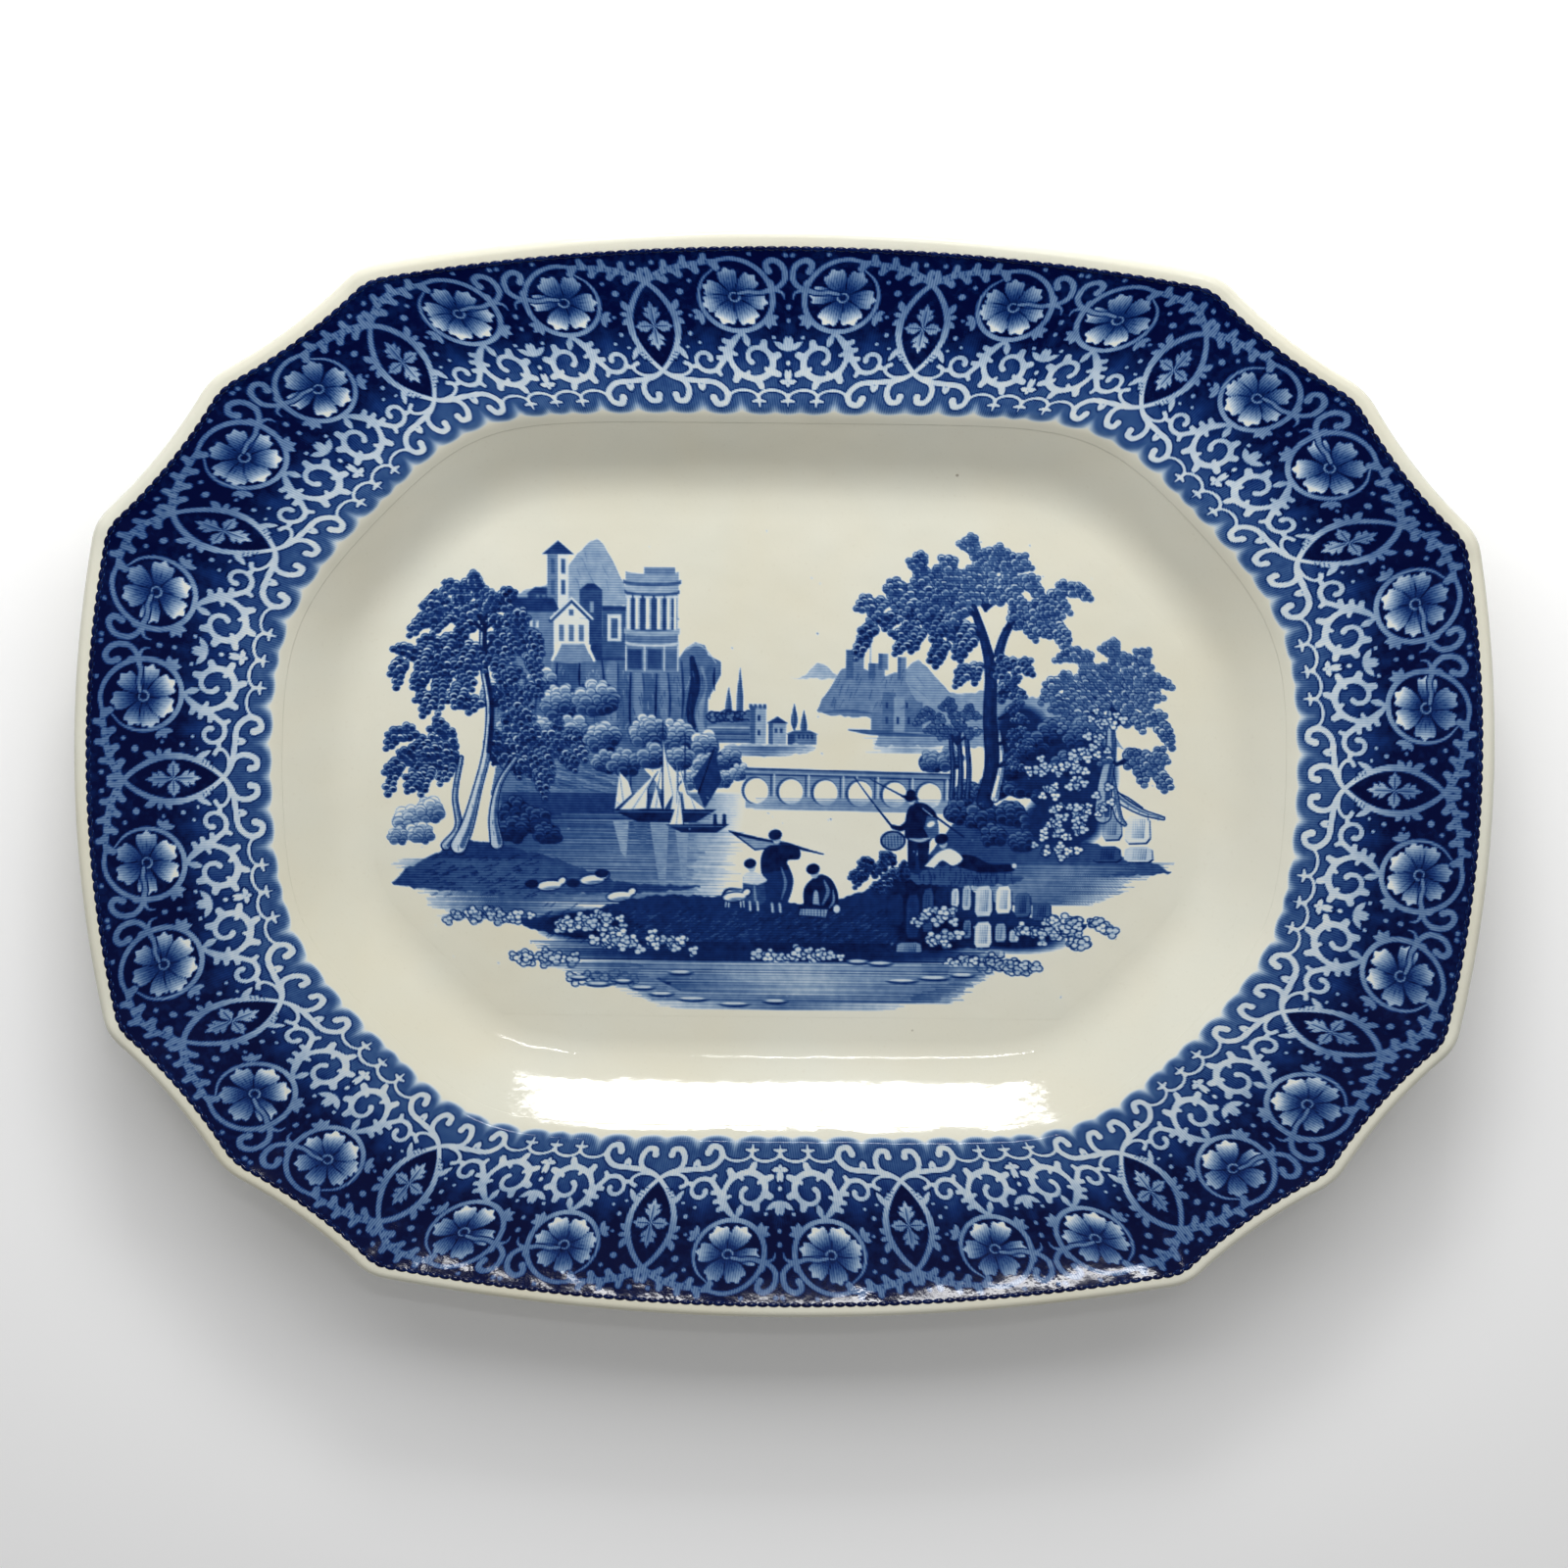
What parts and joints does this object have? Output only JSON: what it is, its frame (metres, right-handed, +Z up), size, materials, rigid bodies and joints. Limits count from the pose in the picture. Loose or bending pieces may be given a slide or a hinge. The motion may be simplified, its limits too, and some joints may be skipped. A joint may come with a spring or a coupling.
{
  "type": "serving platter",
  "caption": "Large octagonal earthenware serving platter with a wide blue-printed rim, a sunken oval-cornered well, low lobes on its cut corners and a low foot ring.",
  "frame": {"origin": "on the table, under the middle of the well", "axes": "+X along the platter's length, +Y across it towards the top of the printed scene, +Z up out of the well"},
  "size_m": [0.4318, 0.335, 0.04],
  "materials": {
    "cream_glaze": "clear gloss lead glaze over cream earthenware, lightly crazed; the rim and the middle of the well carry an underglaze print in cobalt blue",
    "blue_print": "cobalt-blue underglaze transfer print, glossy, navy at the rim and paler towards the well",
    "foot_clay": "glazed cream earthenware, worn to bare clay where it stands"
  },
  "bodies": {
    "root": {"dish_body": "cream_glaze", "foot_ring": "foot_clay"}
  },
  "joints": []
}
